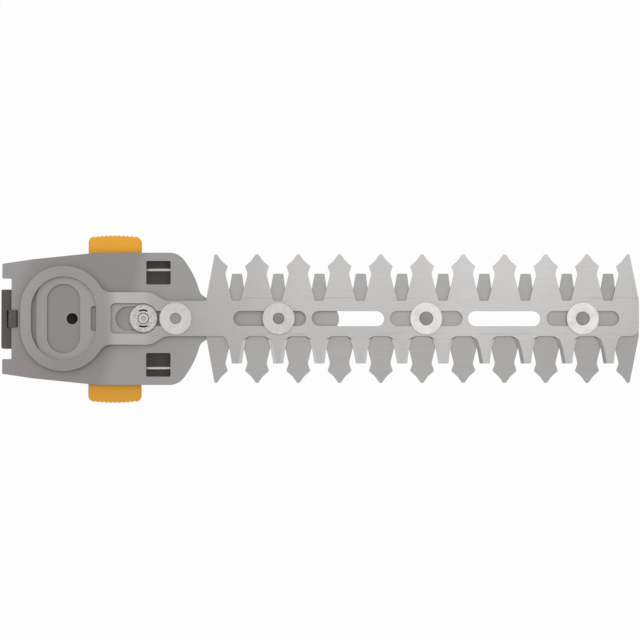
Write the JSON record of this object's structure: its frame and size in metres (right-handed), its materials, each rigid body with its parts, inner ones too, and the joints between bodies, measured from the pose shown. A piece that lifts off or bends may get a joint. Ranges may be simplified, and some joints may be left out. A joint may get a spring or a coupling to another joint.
{
  "type": "shrub shear blade attachment",
  "caption": "Double-acting shrub shear blade attachment: toothed blades that slide on a steel base plate, with guide rivets, a plastic cover and side release buttons.",
  "frame": {"origin": "axis of the round drive hole, on the top face of the base plate", "axes": "+X along the blades to their tip, +Y to the side where the upper blade's long teeth point, +Z to the side that clips onto the powered handle"},
  "size_m": [0.2941, 0.0774, 0.02],
  "materials": {
    "cover_plastic": "fine matt moulded",
    "plate_steel": "satin rolled sheet",
    "lower_blade_steel": "satin ground",
    "upper_blade_steel": "satin ground",
    "rivet_steel": "turned",
    "bush_steel": "turned",
    "washer_steel": "bright satin",
    "nut_steel": "rough satin",
    "screw_steel": "zinc plated",
    "button_plastic": "amber, fine matt moulded",
    "bar_steel": "drawn wire",
    "spring_steel": "spring wire"
  },
  "bodies": {
    "base": {"cover": "cover_plastic", "base_plate": "plate_steel", "neck_guide_rivet": "rivet_steel", "neck_guide_bush": "bush_steel", "neck_guide_washer": "washer_steel", "front_guide_rivet": "rivet_steel", "front_guide_bush": "bush_steel", "front_guide_washer": "washer_steel", "clamp_nut": "nut_steel", "clamp_screw": "screw_steel", "left_button_spring": "spring_steel", "right_button_spring": "spring_steel"},
    "upper_blade": {"upper_blade": "upper_blade_steel"},
    "lower_blade": {"lower_blade": "lower_blade_steel", "mid_guide_rivet": "rivet_steel", "mid_guide_washer": "washer_steel", "tip_guide_rivet": "rivet_steel", "tip_guide_washer": "washer_steel"},
    "left_button": {"left_button": "button_plastic", "left_latch_bar": "bar_steel"},
    "right_button": {"right_button": "button_plastic", "right_latch_bar": "bar_steel"}
  },
  "joints": [
    {"name": "upper_blade_slide", "type": "slide", "parent": "base", "child": "upper_blade", "axis": [1, 0, 0], "range_m": [0, 0.0082]},
    {"name": "lower_blade_slide", "type": "slide", "parent": "base", "child": "lower_blade", "axis": [1, 0, 0], "range_m": [0, 0.0082]},
    {"name": "left_button_press", "type": "slide", "parent": "base", "child": "left_button", "axis": [0, -1, 0], "range_m": [0, 0.003], "stiffness_N_per_m": 1200, "springref_m": -0.002, "deforming": ["left_button_spring"]},
    {"name": "right_button_press", "type": "slide", "parent": "base", "child": "right_button", "axis": [0, 1, 0], "range_m": [0, 0.003], "stiffness_N_per_m": 1200, "springref_m": -0.002, "deforming": ["right_button_spring"]}
  ]
}
